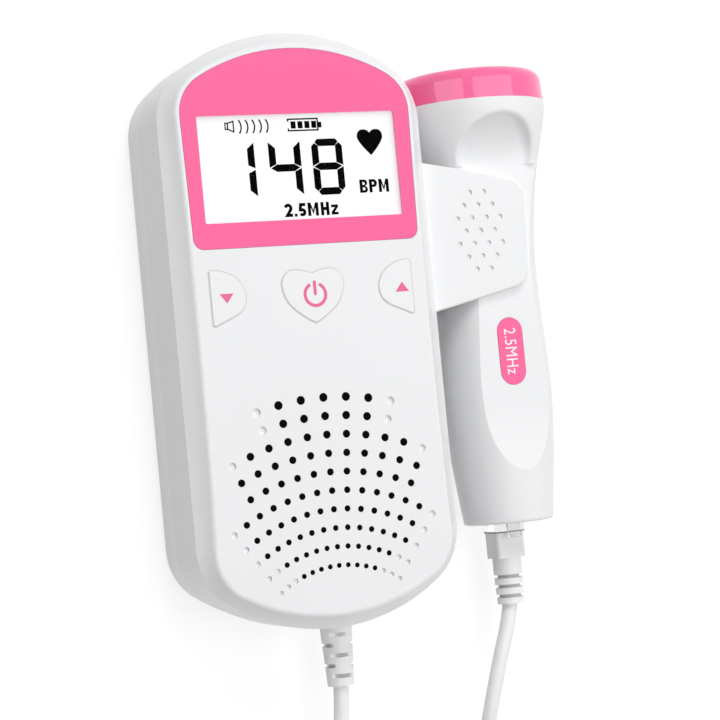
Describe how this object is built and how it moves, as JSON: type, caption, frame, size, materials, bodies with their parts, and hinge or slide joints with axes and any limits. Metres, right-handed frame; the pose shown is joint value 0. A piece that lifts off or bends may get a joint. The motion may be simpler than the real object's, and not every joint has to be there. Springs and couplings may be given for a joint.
{
  "type": "fetal doppler monitor",
  "caption": "Handheld heartbeat monitor with a display, keys and speaker, and a corded probe held in a side clip.",
  "frame": {"origin": "centre of the flat back of the case, where it lies on a table", "axes": "+Z out of the face, +Y towards the display end, +X towards the probe clip"},
  "size_m": [0.1003, 0.2397, 0.0363],
  "materials": {
    "white_shell": "satin gloss white ABS",
    "pink_gloss": "glossy pink ABS",
    "key_white": "satin white",
    "silicone": "translucent grey silicone",
    "clear_lens": "clear acrylic",
    "lcd": "reflective segment display",
    "light_panel": "diffuse acrylic",
    "black_plastic": "moulded black",
    "tray_plastic": "moulded white",
    "board": "green solder mask",
    "steel": "zinc plated",
    "nickel": "nickel plated spring steel",
    "magnet_steel": "coated ferrite",
    "paper_cone": "black pressed paper",
    "foam": "closed-cell foam",
    "cell_sleeve": "plain sleeve",
    "cord_grey": "light grey PVC",
    "clear_plug": "clear polycarbonate",
    "gold": "gold plated",
    "label": "plain label",
    "ceramic": "silvered piezo ceramic",
    "backing": "loaded epoxy"
  },
  "bodies": {
    "main_unit": {"front_shell": "white_shell", "rear_shell": "white_shell", "rating_plate": "label", "fascia_panel": "pink_gloss", "display_lens": "clear_lens", "lcd_glass": "lcd", "lcd_frame": "black_plastic", "lcd_backlight": "light_panel", "key_mat": "silicone", "main_board": "board", "board_parts": "black_plastic", "speaker_frame": "steel", "speaker_magnet": "magnet_steel", "speaker_cone": "paper_cone", "speaker_gasket": "foam", "speaker_screws": "steel", "battery_tray": "tray_plastic", "cell_left": "cell_sleeve", "cell_right": "cell_sleeve", "contact_bridge": "nickel", "contact_plus": "nickel", "contact_minus": "nickel", "contact_springs": "nickel", "case_screws": "steel", "board_screws": "steel", "main_relief": "cord_grey", "lead_main": "cord_grey", "lead_coil": "cord_grey"},
    "power_key": {"power_key": "key_white"},
    "down_key": {"down_key": "key_white"},
    "up_key": {"up_key": "key_white"},
    "battery_door": {"battery_door": "white_shell"},
    "plug": {"lead_probe": "cord_grey", "plug_boot": "cord_grey", "plug_body": "clear_plug", "plug_contacts": "gold"},
    "probe": {"probe_front_shell": "white_shell", "probe_rear_shell": "white_shell", "probe_cap": "pink_gloss", "probe_badge": "pink_gloss", "transducer_disc": "ceramic", "transducer_backing": "backing", "cap_seal": "silicone", "probe_board": "board", "probe_jack": "black_plastic", "jack_contacts": "gold", "probe_screws": "steel"}
  },
  "joints": [
    {"name": "power_key_press", "type": "slide", "parent": "main_unit", "child": "power_key", "axis": [0, 0, -1], "range_m": [0, 0.0006], "stiffness_N_per_m": 400},
    {"name": "down_key_press", "type": "slide", "parent": "main_unit", "child": "down_key", "axis": [0, 0, -1], "range_m": [0, 0.0006], "stiffness_N_per_m": 400},
    {"name": "up_key_press", "type": "slide", "parent": "main_unit", "child": "up_key", "axis": [0, 0, -1], "range_m": [0, 0.0006], "stiffness_N_per_m": 400},
    {"name": "battery_door_slide", "type": "slide", "parent": "main_unit", "child": "battery_door", "axis": [0, 1, 0], "range_m": [0, 0.06]},
    {"name": "probe_release", "type": "slide", "parent": "main_unit", "child": "plug", "axis": [1, 0, 0], "range_m": [0, 0.025]},
    {"name": "probe_unplug", "type": "slide", "parent": "plug", "child": "probe", "axis": [0, 1, 0], "range_m": [0, 0.012]}
  ]
}
